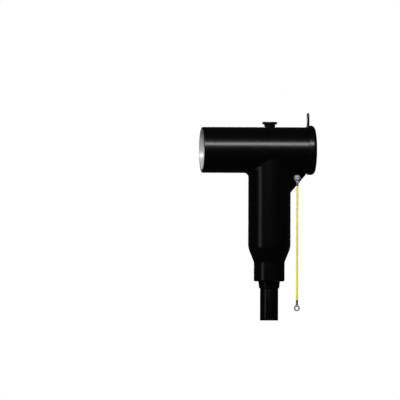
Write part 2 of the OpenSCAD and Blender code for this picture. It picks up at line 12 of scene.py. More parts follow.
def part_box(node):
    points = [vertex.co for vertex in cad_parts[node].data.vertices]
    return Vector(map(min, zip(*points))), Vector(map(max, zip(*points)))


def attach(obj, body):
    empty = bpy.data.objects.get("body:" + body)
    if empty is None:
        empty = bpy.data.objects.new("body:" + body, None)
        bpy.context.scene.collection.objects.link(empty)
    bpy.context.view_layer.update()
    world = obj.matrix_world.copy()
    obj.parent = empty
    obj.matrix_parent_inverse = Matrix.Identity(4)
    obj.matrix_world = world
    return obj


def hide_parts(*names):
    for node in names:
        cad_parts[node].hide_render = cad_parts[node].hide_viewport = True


bl_info = {
    "name": "Tee connector",
    "version": (1, 0, 0),
    "blender": (4, 5, 0),
    "location": "3D View > Sidebar > Connector",
    "description": "Builds the visible pieces of a plug-on tee connector round its packed solids",
    "category": "Object",
}

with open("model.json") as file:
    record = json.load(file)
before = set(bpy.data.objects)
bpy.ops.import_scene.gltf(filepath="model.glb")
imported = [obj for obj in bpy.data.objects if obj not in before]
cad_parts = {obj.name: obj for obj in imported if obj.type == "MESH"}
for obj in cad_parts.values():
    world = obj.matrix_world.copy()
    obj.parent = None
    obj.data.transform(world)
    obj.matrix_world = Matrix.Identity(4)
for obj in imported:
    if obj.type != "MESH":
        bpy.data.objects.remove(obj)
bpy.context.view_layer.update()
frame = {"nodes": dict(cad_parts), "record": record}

MM = 0.001
NEAR = 0.01 * MM    # points closer than this count as in one place
MERGE = 0.002 * MM  # points closer than this are made one
GAP = 0.3 * MM      # clearance of the caps and the plug's flange on the housing
ORIGIN = Vector((0, 0, 0))
X_AXIS = Vector((1, 0, 0))
Y_AXIS = Vector((0, 1, 0))
Z_AXIS = Vector((0, 0, 1))
TURN = "turn"       # what each point of a ring remembers: its turn round the axis
FINISHES = {}       # materials by slot, filled by the operator that makes them


def length(name, description, millimetres):
    """A size, kept in metres, that the sidebar shows."""
    return FloatProperty(name=name, description=description, default=millimetres * MM, min=0.0,
                         unit="LENGTH", precision=5)


def amount(name, description, default, unit="NONE"):
    """A strength that the sidebar shows."""
    return FloatProperty(name=name, description=description, default=default, min=0.0, unit=unit)


def tilt(name, description, degrees):
    """An angle that the sidebar shows."""
    return FloatProperty(name=name, description=description, default=radians(degrees), subtype="ANGLE")


def tint(name, description, default):
    """A colour that the sidebar shows."""
    return FloatVectorProperty(name=name, description=description, default=default, size=3,
                               subtype="COLOR", min=0.0, max=1.0)


class ConnectorSizes(PropertyGroup):
    """Sizes of the modelled pieces."""

    barrel_r: length("Barrel radius", "Outside of the barrel", 37.5)
    mouth: length("Mouth", "Cable axis to the socket mouth", 112)
    mouth_edge: length("Mouth edge", "Rounding of the screen's edge at the mouth", 1.5)
    rear: length("Rear", "Cable axis to the rear end of the barrel", 66)
    leg_r: length("Leg radius", "Outside of the leg", 34.8)
    leg_len: length("Leg", "Bushing axis to the shoulder of the leg", 160)
    shoulder_r: length("Shoulder", "Rounding of the shoulder", 30)
    taper_end: length("Taper", "Bushing axis to the foot of the taper", 183.5)
    taper_foot: length("Taper foot", "Rounding where the taper runs into the sleeve", 16)
    sleeve_r: length("Sleeve radius", "Outside of the sleeve", 25.25)
    sleeve_end: length("Sleeve end", "Bushing axis to the end of the sleeve", 215)
    sleeve_edge: length("Sleeve edge", "Rounding of the sleeve's lower edge", 2.2)
    bore_r: length("Sleeve bore", "Inside of the sleeve", 21.15)
    wall: length("Screen wall", "Thickness of the conductive screen", 3)
    blend_r: length("Blend", "Radius between barrel and leg", 7.5)
    web_t: length("Web thickness", "Thickness of the earth web", 10)
    web_end: length("Web end", "Cable axis to the end of the web", 60)
    web_lip: length("Web lip", "Depth of the web's end under the barrel", 2.1)
    web_drop: length("Web drop", "Depth of the web's root under the barrel", 31.8)
    web_edge: length("Web edge", "Rounding of the web's edges", 2.4)
    ridge_r: length("Parting ridge", "Radius of the ridge where the mould halves meet", 0.12)
    cap_r: length("Rear cap radius", "Outside of the rear cap", 40.5)
    cap_edge: length("Rear cap edge", "Rounding of the rear cap's edge", 5.5)
    tab_w: length("Tab width", "Width of the pull tab", 13)
    tab_t: length("Tab thickness", "Thickness of the pull tab", 3.2)
    tab_setback: length("Tab setback", "Front of the tab behind the skirt's edge", 0.7)
    tab_hole_r: length("Tab hole", "Radius of the hole in the pull tab", 3.25)
    test_head_r: length("Test cap", "Radius of the test point cap's head", 12.25)
    test_head_t: length("Test cap head", "Thickness of the test point cap's head", 4.5)
    test_neck_r: length("Test cap neck", "Radius of the test point cap's neck", 9)
    lead_r: length("Lead radius", "Radius of the earth lead", 1.75)
    lead_len: length("Lead length", "Length of the earth lead between its terminals", 186.5)
    stud_r: length("Stud radius", "Radius over the stud's thread", 8)
    stud_pitch: length("Stud pitch", "Pitch of the stud's thread", 2)
    wire_r: length("Strand radius", "Radius of a conductor strand", 1.11)
    screen_wire_r: length("Screen wire radius", "Radius of a copper screen wire", 0.5)
    round_steps: IntProperty(name="Steps", description="Steps round a turned piece", default=96, min=24)


class ConnectorColours(PropertyGroup):
    """Colours of the finishes."""

    rubber: tint("Screen rubber", "Black conductive rubber", (0.0008, 0.0008, 0.0009))
    cap_rubber: tint("Cap rubber", "Black rubber of the caps", (0.0009, 0.0009, 0.001))
    silicone: tint("Insulating rubber", "Grey rubber of the socket", (0.5, 0.51, 0.52))
    epoxy: tint("Epoxy", "Cast resin of the rear plug", (0.235, 0.115, 0.07))
    lead: tint("Lead", "Yellow insulation of the earth lead", (0.98, 0.92, 0.13))
    tin: tint("Tinned metal", "Tinned terminals and lug", (0.37, 0.385, 0.42))
    steel: tint("Steel", "Plated fasteners", (0.56, 0.57, 0.60))
    brass: tint("Brass", "Turned brass", (0.70, 0.52, 0.24))
    copper: tint("Copper", "Wire screen", (0.72, 0.36, 0.22))
    aluminium: tint("Aluminium", "Conductor strands", (0.74, 0.75, 0.77))
    polymer: tint("Cable insulation", "Insulation of the cable", (0.78, 0.74, 0.64))
    sheath: tint("Sheath", "Sheath of the cable", (0.0009, 0.0009, 0.001))
    sleeve: tint("Terminal sleeve", "Dark sleeve over the crimped barrels", (0.09, 0.09, 0.07))


class ConnectorStage(PropertyGroup):
    """Camera and light."""

    picture_width: length("Picture width", "Width of the view at the connector", 655)
    camera_distance: length("Camera distance", "Camera to the connector", 30000)
    camera_turn: tilt("Camera turn", "Turn of the camera to the socket's side", 7.2)
    camera_roll: tilt("Camera roll", "Tilt of the picture", 0.2)
    shift_right: length("Right", "Connector's axis crossing, right of the picture's centre", 113.7)
    shift_up: length("Up", "Connector's axis crossing, above the picture's centre", 82.1)
    floor_drop: length("Floor", "Floor under the axis crossing", 445)
    floor_glow: amount("Floor paleness", "White that the floor shows to the camera", 0.6)
    ambient: amount("Room light", "Even light from all round", 0.03)
    reflected: amount("Room reflection", "What glossy surfaces mirror of the room", 0.02)
    key_power: amount("Key light", "Long strip above the camera", 4.8, "POWER")
    fill_power: amount("Fill light", "Soft light into the socket mouth", 12.0, "POWER")
    side_power: amount("Side light", "Upright strip on the socket's side", 0.57, "POWER")
    front_power: amount("Front light", "Broad light that makes no highlights", 4.2, "POWER")
    back_power: amount("Back light", "Soft light straight behind the connector", 3.2, "POWER")


def deselect():
    """Leaves edit mode with nothing selected."""
    if bpy.context.mode != "OBJECT":
        bpy.ops.object.mode_set(mode="OBJECT")
    bpy.ops.object.select_all(action="DESELECT")


def activate(piece):
    """Selects one piece alone and makes it active."""
    deselect()
    piece.select_set(True)
    bpy.context.view_layer.objects.active = piece


def edit():
    """Enters edit mode on the active piece and gives its mesh."""
    if bpy.context.mode != "EDIT_MESH":
        bpy.ops.object.mode_set(mode="EDIT")
    return bmesh.from_edit_mesh(bpy.context.active_object.data)


def select_whole(kind="VERT"):
    """Selects the whole mesh of the active piece."""
    edit()
    bpy.ops.mesh.select_mode(type=kind)
    bpy.ops.mesh.select_all(action="SELECT")


def select_edges(test, ends=all):
    """Selects the edges of which all ends, or any, pass a test."""
    mesh = edit()
    bpy.ops.mesh.select_mode(type="EDGE")
    bpy.ops.mesh.select_all(action="DESELECT")
    for edge in mesh.edges:
        edge.select_set(ends(test(vert.co) for vert in edge.verts))
    bmesh.update_edit_mesh(bpy.context.active_object.data)


def extrude(move=ORIGIN):
    """Extrudes what is selected, and moves it."""
    bpy.ops.mesh.extrude_region_move(TRANSFORM_OT_translate={"value": move})


def clean():
    """Merges doubles and faces the mesh outwards."""
    select_whole()
    bpy.ops.mesh.remove_doubles(threshold=MERGE)
    bpy.ops.mesh.normals_make_consistent(inside=False)


def rename(piece, name):
    """Gives a piece and its mesh one name."""
    piece.name = name
    piece.data.name = name


def smooth(piece, angle):
    """Shades a piece smooth, with edges sharper than the angle in degrees left crisp."""
    activate(piece)
    bpy.ops.object.shade_smooth_by_angle(angle=radians(angle))


def settle(name, angle=None):
    """Cleans the piece being edited, puts its place into its mesh and names it."""
    clean()
    bpy.ops.object.mode_set(mode="OBJECT")
    bpy.ops.object.transform_apply(location=True, rotation=True, scale=True)
    piece = bpy.context.active_object
    rename(piece, name)
    if not piece.data.polygons:
        raise RuntimeError(f"{name}: the piece has no faces")
    if angle is not None:
        smooth(piece, angle)
    return piece


def modify(piece, kind, **settings):
    """Adds a modifier with its settings and applies it."""
    modifier = piece.modifiers.new(kind.lower(), kind)
    for name, value in settings.items():
        setattr(modifier, name, value)
    activate(piece)
    bpy.ops.object.modifier_apply(modifier=modifier.name)


def cut(piece, tool, operation):
    """Joins, subtracts or intersects a tool with a piece, and removes the tool."""
    modify(piece, "BOOLEAN", operation=operation, solver="EXACT", object=tool)
    bpy.data.objects.remove(tool)
    if not piece.data.polygons:
        raise RuntimeError(f"{piece.name}: nothing is left after {operation.lower()}")


def move_mesh(piece, matrix):
    """Moves the mesh and leaves the object at the origin."""
    piece.data.transform(matrix)
    piece.data.update()


def copy_piece(piece, name):
    """A copy with its own mesh."""
    twin = piece.copy()
    twin.data = piece.data.copy()
    rename(twin, name)
    bpy.context.collection.objects.link(twin)
    return twin


def join(pieces, name):
    """Makes one piece of several."""
    activate(pieces[0])
    for piece in pieces[1:]:
        piece.select_set(True)
    bpy.ops.object.join()
    rename(pieces[0], name)
    return pieces[0]


def fasten(piece, body, slot, node, finish=None):
    """Rides a piece on its body in place of its node, with the finish of its slot or another."""
    piece.data.materials.clear()
    piece.data.materials.append(FINISHES[finish or slot])
    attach(piece, body)
    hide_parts(node)


def rounding(before, at, after, radius, steps):
    """Points of the arc that rounds one corner of an outline."""
    one = (before - at).normalized()
    two = (after - at).normalized()
    half = acos(max(-1.0, min(1.0, one.dot(two)))) / 2
    centre = at + (one + two).normalized() * (radius / sin(half))
    first = at + one * (radius / tan(half)) - centre
    last = at + two * (radius / tan(half)) - centre
    start = atan2(first.y, first.x)
    sweep = (atan2(last.y, last.x) - start + 3 * pi) % (2 * pi) - pi
    turns = [start + sweep * i / steps for i in range(steps + 1)]
    return [centre + radius * Vector((cos(turn), sin(turn))) for turn in turns]


def outline(path, steps=8, unit=MM):
    """Points of a path of (radius, station[, rounding]), with its corners rounded."""
    points = [Vector(p[:2]) * unit for p in path]
    result = []
    for i, p in enumerate(path):
        if len(p) > 2:
            result += rounding(*points[i - 1:i + 2], p[2] * unit, steps)
        else:
            result.append(points[i])
    return result


def draw(points):
    """Draws a chain of edges from one vertex by extruding it from point to point."""
    deselect()
    bpy.ops.mesh.primitive_plane_add(size=MM, location=points[0])
    select_whole()
    bpy.ops.mesh.merge(type="CENTER")
    for here, there in zip(points, points[1:]):
        bpy.ops.mesh.extrude_vertices_move(TRANSFORM_OT_translate={"value": there - here})


def close_chain():
    """Joins the last point of a drawn chain to its first."""
    mesh = edit()
    mesh.verts.ensure_lookup_table()
    bpy.ops.mesh.select_all(action="DESELECT")
    mesh.verts[0].select_set(True)
    mesh.verts[-1].select_set(True)
    bpy.ops.mesh.edge_face_add()


def turned(name, points, axis, closed=False, steps=96, angle=34):
    """Spins an outline of (radius, station) points round an axis through the origin."""
    side = X_AXIS if axis is Z_AXIS else Z_AXIS
    draw([axis * p.y + side * p.x for p in points])
    if closed:
        close_chain()
    select_whole()
    bpy.ops.mesh.spin(steps=steps, angle=2 * pi, center=ORIGIN, axis=axis)
    return settle(name, angle)


def rod(name, runs, radius, resolution):
    """Round rod along one or more chains of points."""
    curve = bpy.data.curves.new(name, "CURVE")
    curve.dimensions = "3D"
    curve.bevel_depth = radius
    curve.bevel_resolution = resolution
    curve.use_fill_caps = True
    for run in runs:
        spline = curve.splines.new("POLY")
        spline.points.add(len(run) - 1)
        for point, place in zip(spline.points, run):
            point.co = (*place, 1.0)
    piece = bpy.data.objects.new(name, curve)
    bpy.context.collection.objects.link(piece)
    return piece


def start_ring(around, radius, height, fill="NOTHING"):
    """Starts a piece as a ring whose points remember their turn round the Z axis."""
    deselect()
    bpy.ops.mesh.primitive_circle_add(vertices=around, radius=radius, fill_type=fill)
    mesh = edit()
    turn = mesh.verts.layers.int.new(TURN)
    for vert in mesh.verts:
        vert[turn] = round(atan2(vert.co.y, vert.co.x) / (2 * pi) * around) % around
        vert.co.z = height


def place_ring(place):
    """Puts each selected point where its turn says."""
    mesh = edit()
    turn = mesh.verts.layers.int[TURN]
    for vert in mesh.verts:
        if vert.select:
            vert.co = place(vert[turn])
    bmesh.update_edit_mesh(bpy.context.active_object.data)


def raise_ring(place):
    """Extrudes the selected ring and puts its points in place."""
    extrude()
    place_ring(place)


def forget_turns():
    """Leaves edit mode and drops what the points remember."""
    bpy.ops.object.mode_set(mode="OBJECT")
    attributes = bpy.context.active_object.data.attributes
    attributes.remove(attributes[TURN])


def along(axis):
    """Turn that lays what was made along Z onto an axis."""
    return Z_AXIS.rotation_difference(axis).to_matrix().to_4x4()


def hexagon_bar(name, across, start, end, axis):
    """Hexagon bar along an axis, given across its flats, its edges broken by a small bevel."""
    broken = 0.006 * across
    deselect()
    bpy.ops.mesh.primitive_cylinder_add(vertices=6, radius=across / sqrt(3), depth=end - start,
                                        location=(0, 0, (start + end) / 2))
    select_whole()
    bpy.ops.mesh.bevel(offset=broken, segments=2, affect="EDGES")
    piece = settle(name, 30)
    move_mesh(piece, along(axis))
    return piece


def hexagon_head(name, across, start, end, axis, both=True):
    """Hexagon whose corners are turned down by a cone at one end or both."""
    piece = hexagon_bar(name, across, start, end, axis)
    corner_r = across / sqrt(3) + 0.2 * MM
    face_r = 0.475 * across
    fall = (corner_r - face_r) * tan(radians(30))
    low = [(face_r, start), (corner_r, start + fall)] if both else [(corner_r, start)]
    path = [(0.0, start), *low, (corner_r, end - fall), (face_r, end), (0.0, end)]
    cone = turned(name + "_cone", outline(path, unit=1.0), Z_AXIS, steps=64)
    move_mesh(cone, along(axis))
    cut(piece, cone, "INTERSECT")
    return piece


class Finish:
    """A material being made: its shader and the nodes that feed it."""

    def __init__(self, name):
        self.material = bpy.data.materials.new(name)
        self.material.use_nodes = True
        self.nodes = self.material.node_tree.nodes
        self.links = self.material.node_tree.links
        self.shader = self.nodes["Principled BSDF"]
        self.place = self.nodes.new("ShaderNodeTexCoord").outputs["Object"]

    def set(self, **values):
        """Sets sockets of the shader that are the same all over."""
        for name, value in values.items():
            socket = self.shader.inputs[name.replace("_", " ").title().replace("Ior", "IOR")]
            socket.default_value = (*value, 1.0) if isinstance(value, tuple) else value

    def feed(self, name, socket):
        """Feeds one socket of the shader."""
        self.links.new(socket, self.shader.inputs[name])

    def noise(self, scale, detail=3.0, stretch=(1, 1, 1)):
        """Noise over the surface; stretch squeezes it along the axes."""
        mapping = self.nodes.new("ShaderNodeMapping")
        mapping.inputs["Scale"].default_value = stretch
        self.links.new(self.place, mapping.inputs["Vector"])
        node = self.nodes.new("ShaderNodeTexNoise")
        for socket, number in (("Scale", scale), ("Detail", detail), ("Roughness", 0.55)):
            node.inputs[socket].default_value = number
        self.links.new(mapping.outputs["Vector"], node.inputs["Vector"])
        return node.outputs["Fac"]

    def spread(self, value, to_low=0.0, to_high=1.0, low=0.3, high=0.7):
        """Maps a value from one range, by default that of a noise, to another."""
        node = self.nodes.new("ShaderNodeMapRange")
        for socket, number in zip(("From Min", "From Max", "To Min", "To Max"), (low, high, to_low, to_high)):
            node.inputs[socket].default_value = number
        self.links.new(value, node.inputs["Value"])
        return node.outputs["Result"]

    def mix(self, factor, one, two):
        """Mixes two colours, each a tuple or a socket."""
        node = self.nodes.new("ShaderNodeMix")
        node.data_type = "RGBA"
        self.links.new(factor, node.inputs["Factor"])
        for socket, colour in ((node.inputs[6], one), (node.inputs[7], two)):
            if isinstance(colour, tuple):
                socket.default_value = (*colour, 1.0)
            else:
                self.links.new(colour, socket)
        return node.outputs[2]

    def tones(self, noise, colour, one, two, low=0.3, high=0.7):
        """Two shades of a colour, mixed by a noise between two of its levels."""
        return self.mix(self.spread(noise, low=low, high=high), shade(colour, one), shade(colour, two))

    def bump(self, height, strength, distance):
        """Feeds the normal from a height."""
        node = self.nodes.new("ShaderNodeBump")
        node.inputs["Strength"].default_value = strength
        node.inputs["Distance"].default_value = distance
        self.links.new(height, node.inputs["Height"])
        self.feed("Normal", node.outputs["Normal"])


def shade(colour, factor):
    """A colour made lighter or darker."""
    return tuple(min(1.0, c * factor) for c in colour)


def moulded_rubber(name, colour, roughness, gloss):
    """Black moulded rubber: fine orange peel, a few duller patches, faint bloom."""
    finish = Finish(name)
    finish.set(specular_ior_level=gloss)
    finish.feed("Base Color", finish.tones(finish.noise(38.0, 4.0), colour, 0.7, 1.5, low=0.35))
    finish.feed("Roughness", finish.spread(finish.noise(90.0), *roughness))
    finish.bump(finish.noise(1500.0), 0.05, 0.01 * MM)
    return finish.material


def insulating_rubber(colour, roughness):
    """Grey insulating rubber: smooth and glossy, with a faint cloudiness."""
    finish = Finish("grey_insulating_rubber")
    finish.set(specular_ior_level=1.0)
    finish.feed("Base Color", finish.tones(finish.noise(55.0, 4.0), colour, 0.9, 1.08))
    finish.feed("Roughness", finish.spread(finish.noise(160.0, 2.0), *roughness))
    finish.bump(finish.noise(900.0, 2.0), 0.08, 0.02 * MM)
    return finish.material


def cast_resin(colour, roughness):
    """Cast epoxy: brown, glossy, finely speckled with filler."""
    finish = Finish("cast_epoxy")
    finish.set(specular_ior_level=0.5)
    speck = finish.spread(finish.noise(2200.0, 2.0), low=0.58, high=0.72)
    cloud = finish.mix(finish.noise(45.0, 4.0), shade(colour, 0.82), shade(colour, 1.15))
    finish.feed("Base Color", finish.mix(speck, cloud, shade(colour, 1.7)))
    finish.feed("Roughness", finish.spread(finish.noise(120.0), *roughness))
    finish.bump(finish.noise(700.0, 2.0), 0.05, 0.02 * MM)
    return finish.material


def worked_metal(name, colour, metal, roughness, stretch, grain=900.0):
    """Metal with the marks of turning, drawing or plating along one direction."""
    finish = Finish(name)
    finish.set(metallic=metal, specular_ior_level=0.5)
    marks = finish.noise(grain, 4.0, stretch)
    worn = finish.tones(finish.noise(140.0, 4.0), colour, 1.05, 0.78, low=0.35, high=0.75)
    finish.feed("Base Color", finish.mix(finish.spread(marks, 0.0, 0.5), worn, shade(colour, 0.88)))
    finish.feed("Roughness", finish.spread(marks, *roughness))
    finish.bump(marks, 0.1, 0.02 * MM)
    return finish.material


def extruded_polymer(name, colour, roughness, gloss, mottle=60.0):
    """Extruded cable polymer, with faint lines along its length."""
    finish = Finish(name)
    finish.set(specular_ior_level=gloss)
    lines = finish.noise(1400.0, 2.0, stretch=(1, 1, 0.02))
    finish.feed("Base Color", finish.tones(finish.noise(mottle), colour, 0.9, 1.06))
    finish.feed("Roughness", finish.spread(lines, *roughness))
    finish.bump(lines, 0.1, 0.02 * MM)
    return finish.material


class CONNECTOR_OT_stage(Operator):
    """Sets up the floor, the room, the lights and the camera"""

    bl_idname = "connector.stage"
    bl_label = "Stage"

    FLOOR_R = 0.86
    FLOOR_RIM = 0.1
    MIDDLE = Vector((0, 0, -0.13))
    # Each lamp's name, power, place, size, what it is aimed at, and whether it makes highlights
    LAMPS = (("key_strip", "key_power", (0.15, -1.04, 0.615), (0.62, 0.25), ORIGIN, True),
             ("fill_light", "fill_power", (-0.42, -1.03, 0.66), (0.34, 0.36), ORIGIN, True),
             ("side_strip", "side_power", (-1.02, -0.63, -0.13), (0.26, 0.75), MIDDLE, True),
             ("front_light", "front_power", (-0.7, -0.9, 1.1), (0.7, 0.7), MIDDLE, False),
             ("back_strip", "back_power", (0.17, 1.34, 0.0), (0.4, 0.45), ORIGIN, True))

    def execute(self, context):
        stage = context.scene.connector_stage
        self.room(context.scene, stage)
        self.floor(stage)
        for name, power, place, size, aim, highlights in self.LAMPS:
            lamp = self.lamp(name, getattr(stage, power), place, size, aim)
            lamp.visible_glossy = highlights
        self.camera(context.scene, stage)
        return {"FINISHED"}

    def room(self, scene, stage):
        """White to the camera, dim to reflections, even to everything else."""
        scene.view_settings.view_transform = "Standard"
        world = bpy.data.worlds.new("studio_room")
        scene.world = world
        world.use_nodes = True
        nodes, links = world.node_tree.nodes, world.node_tree.links
        nodes.clear()
        path = nodes.new("ShaderNodeLightPath")
        seen = nodes.new("ShaderNodeMath")
        seen.operation = "MAXIMUM"
        links.new(path.outputs["Is Glossy Ray"], seen.inputs[0])
        links.new(path.outputs["Is Transmission Ray"], seen.inputs[1])
        dim = nodes.new("ShaderNodeMix")
        dim.inputs["A"].default_value = stage.ambient
        dim.inputs["B"].default_value = stage.reflected
        links.new(seen.outputs["Value"], dim.inputs["Factor"])
        level = nodes.new("ShaderNodeMix")
        level.inputs["B"].default_value = 1.0
        links.new(path.outputs["Is Camera Ray"], level.inputs["Factor"])
        links.new(dim.outputs["Result"], level.inputs["A"])
        light = nodes.new("ShaderNodeBackground")
        light.inputs["Color"].default_value = (1, 1, 1, 1)
        links.new(level.outputs["Result"], light.inputs["Strength"])
        out = nodes.new("ShaderNodeOutputWorld")
        links.new(light.outputs["Background"], out.inputs["Surface"])

    def floor(self, stage):
        """A pale round floor under the connector, whiter to the camera than to the connector."""
        deselect()
        bpy.ops.mesh.primitive_circle_add(vertices=96, radius=self.FLOOR_R, fill_type="NGON",
                                          location=(0, 0, -stage.floor_drop))
        select_whole()
        bpy.ops.mesh.inset(thickness=self.FLOOR_RIM)
        floor = settle("pale_floor")
        finish = Finish("pale_floor_paint")
        finish.feed("Base Color", finish.mix(finish.noise(3.0, 2.0), (0.3, 0.3, 0.3), (0.33, 0.33, 0.33)))
        finish.set(roughness=0.8, specular_ior_level=0.1, emission_color=(1.0, 1.0, 1.0))
        seen = finish.nodes.new("ShaderNodeLightPath").outputs["Is Camera Ray"]
        finish.feed("Emission Strength", finish.spread(seen, 0.0, stage.floor_glow, low=0.0, high=1.0))
        floor.data.materials.append(finish.material)
        floor.visible_glossy = False

    def lamp(self, name, power, place, size, aim):
        """An area lamp that the camera does not see."""
        deselect()
        bpy.ops.object.light_add(type="AREA", location=place)
        lamp = bpy.context.active_object
        lamp.name = name
        lamp.data.shape = "RECTANGLE"
        lamp.data.size, lamp.data.size_y = size
        lamp.data.energy = power
        lamp.rotation_euler = (aim - Vector(place)).to_track_quat("-Z", "Y").to_euler()
        lamp.visible_camera = False
        return lamp

    def camera(self, scene, stage):
        """Looks at the middle of the picture from the socket's side."""
        look = Vector((sin(stage.camera_turn), cos(stage.camera_turn), 0))
        right = look.cross(Z_AXIS)
        centre = -stage.shift_right * right - stage.shift_up * Z_AXIS
        deselect()
        bpy.ops.object.camera_add(location=centre - look * stage.camera_distance)
        camera = bpy.context.active_object
        camera.data.lens = camera.data.sensor_width * stage.camera_distance / stage.picture_width
        camera.data.clip_end = 10 * stage.camera_distance
        level = look.to_track_quat("-Z", "Y").to_matrix()
        camera.rotation_euler = (level @ Matrix.Rotation(stage.camera_roll, 3, "Z")).to_euler()
        scene.camera = camera


class CONNECTOR_OT_make_finishes(Operator):
    """Makes the finishes that the pieces share"""

    bl_idname = "connector.make_finishes"
    bl_label = "Make finishes"

    # How marks stretch along the axes
    TURNED, PLATED, TINNED, DRAWN = (0.05, 1, 1), (0.2, 1, 1), (1, 1, 0.3), (1, 1, 0.03)

    def execute(self, context):
        group = context.scene.connector_colours
        tints = {name: tuple(getattr(group, name)) for name in ConnectorColours.__annotations__}
        semiconductor = shade(tints["sheath"], 1.6)
        FINISHES.update({
            "screen_rubber": moulded_rubber("screen_rubber", tints["rubber"], (0.21, 0.24), 0.42),
            "cap_rubber": moulded_rubber("cap_rubber", tints["cap_rubber"], (0.21, 0.25), 0.42),
            "adapter_rubber": moulded_rubber("adapter_rubber", tints["rubber"], (0.26, 0.3), 0.4),
            "insulating_rubber": insulating_rubber(tints["silicone"], (0.34, 0.42)),
            "epoxy": cast_resin(tints["epoxy"], (0.2, 0.32)),
            "brass": worked_metal("turned_brass", tints["brass"], 1.0, (0.22, 0.36), self.TURNED),
            "tinned_metal": worked_metal("tinned_metal", tints["tin"], 0.35, (0.3, 0.45), self.TINNED, 600.0),
            "steel": worked_metal("plated_steel", tints["steel"], 0.4, (0.26, 0.4), self.PLATED),
            "conductor_metal": worked_metal("drawn_aluminium", tints["aluminium"], 0.9, (0.3, 0.42),
                                            self.DRAWN),
            "copper": worked_metal("drawn_copper", tints["copper"], 0.9, (0.28, 0.42), self.DRAWN),
            "cable_polymer": extruded_polymer("cable_insulation", tints["polymer"], (0.42, 0.56), 0.35),
            "semiconductor": extruded_polymer("core_screen_black", semiconductor, (0.5, 0.62), 0.3),
            "sheath_polymer": extruded_polymer("sheath_black", tints["sheath"], (0.22, 0.27), 0.36),
            "terminal_sleeve": extruded_polymer("terminal_sleeve_dark", tints["sleeve"], (0.38, 0.5), 0.4),
            "lead_insulation": extruded_polymer("lead_yellow", tints["lead"], (0.34, 0.44), 0.4,
                                                mottle=120.0),
        })
        return {"FINISHED"}


class CONNECTOR_OT_earth_lead(Operator):
    """Hangs the earth lead between its two ring terminals"""

    bl_idname = "connector.earth_lead"
    bl_label = "Earth lead"

    EXIT = Vector((45, -7.7, -58.9)) * MM
    ROUTE = [0, 5, *range(15, 176, 10), 186.5]
    EYE_DROP = 13.4 * MM
    EYE_BACK = 1.4 * MM
    HOLE_R, RING_R, HALF_T = 2.3, 5.0, 0.5
    BARREL_R, SLEEVE_R, SLEEVE_TOP = 1.6, 1.9, -8.4
    # Sections of barrel and neck: drop, half width, half depth, back, squareness
    SECTIONS = [(13.3, 1.6, 1.6, -1.4, 2.0), (8.4, 1.65, 1.65, -1.4, 2.0), (7.8, 1.8, 1.75, -1.4, 2.0),
                (7.2, 1.86, 1.4, -1.0, 2.4), (6.6, 1.88, 0.85, -0.4, 3.6), (6.0, 1.9, 0.5, 0.0, 7.0),
                (4.4, 3.05, 0.5, 0.0, 9.0), (2.9, 4.07, 0.49, 0.0, 9.0)]

    def execute(self, context):
        sizes = context.scene.connector_sizes
        route = [self.EXIT - Z_AXIS * drop * MM for drop in self.ROUTE]
        lead = rod("earth_lead_wire", [route], sizes.lead_r, 7)
        fasten(lead, "housing", "lead_insulation", "earth_lead")
        eye = self.EXIT + Y_AXIS * self.EYE_BACK + Z_AXIS * self.EYE_DROP
        upper = self.terminal("upper", Matrix.Translation(eye))
        fall = Z_AXIS * (sizes.lead_len + 2 * self.EYE_DROP)
        on_lead = self.terminal("lower", Matrix.Translation(eye - fall) @ Matrix.Rotation(pi, 4, "Y"))
        for piece in (lead, *upper, *on_lead):
            piece.visible_glossy = False
        tuple(self.EXIT)
        return {"FINISHED"}

    def terminal(self, end, place):
        """Ring terminal at one end of the lead, with the sleeve over its barrel."""
        node = f"{end}_terminal"
        ring = self.ring(f"{end}_ring_terminal")
        cut(ring, self.neck(), "UNION")
        smooth(ring, 32)
        foot = -self.EYE_DROP / MM
        path = [(self.BARREL_R, foot), (self.SLEEVE_R, foot, 0.2), (self.SLEEVE_R, self.SLEEVE_TOP, 0.25),
                (self.BARREL_R, self.SLEEVE_TOP)]
        sleeve = turned(f"{end}_terminal_sleeve", outline(path, 3), Z_AXIS, closed=True, steps=40)
        move_mesh(sleeve, Matrix.Translation((0, -self.EYE_BACK, 0)))
        for piece in (ring, sleeve):
            move_mesh(piece, place)
        fasten(ring, "housing", "tinned_metal", node)
        fasten(sleeve, "housing", "sheath_polymer", node, finish="terminal_sleeve")
        return [ring, sleeve]

    def ring(self, name):
        """Flat ring of the terminal with eased edges."""
        hole, rim, half = self.HOLE_R, self.RING_R, self.HALF_T
        path = [(hole, 0.0), (hole, -half, 0.15), (rim, -half, 0.18), (rim, half, 0.18), (hole, half, 0.15),
                (hole, 0.0)]
        return turned(name, outline(path, 3)[:-1], Y_AXIS, closed=True, steps=64)

    def neck(self):
        """Crimped barrel and the flat neck that widens to the ring, with the eye at the origin."""
        around = 28

        def on_section(drop, wide, deep, back, square):
            def place(i):
                x, y = cos(2 * pi * i / around), sin(2 * pi * i / around)
                reach = (abs(x) ** square + abs(y) ** square) ** (-1 / square)
                return Vector((wide * x * reach, deep * y * reach + back, -drop)) * MM
            return place

        first, *others = self.SECTIONS
        start_ring(around, MM, 0.0, "NGON")
        place_ring(on_section(*first))
        for section in others:
            raise_ring(on_section(*section))
        forget_turns()
        return settle("neck")


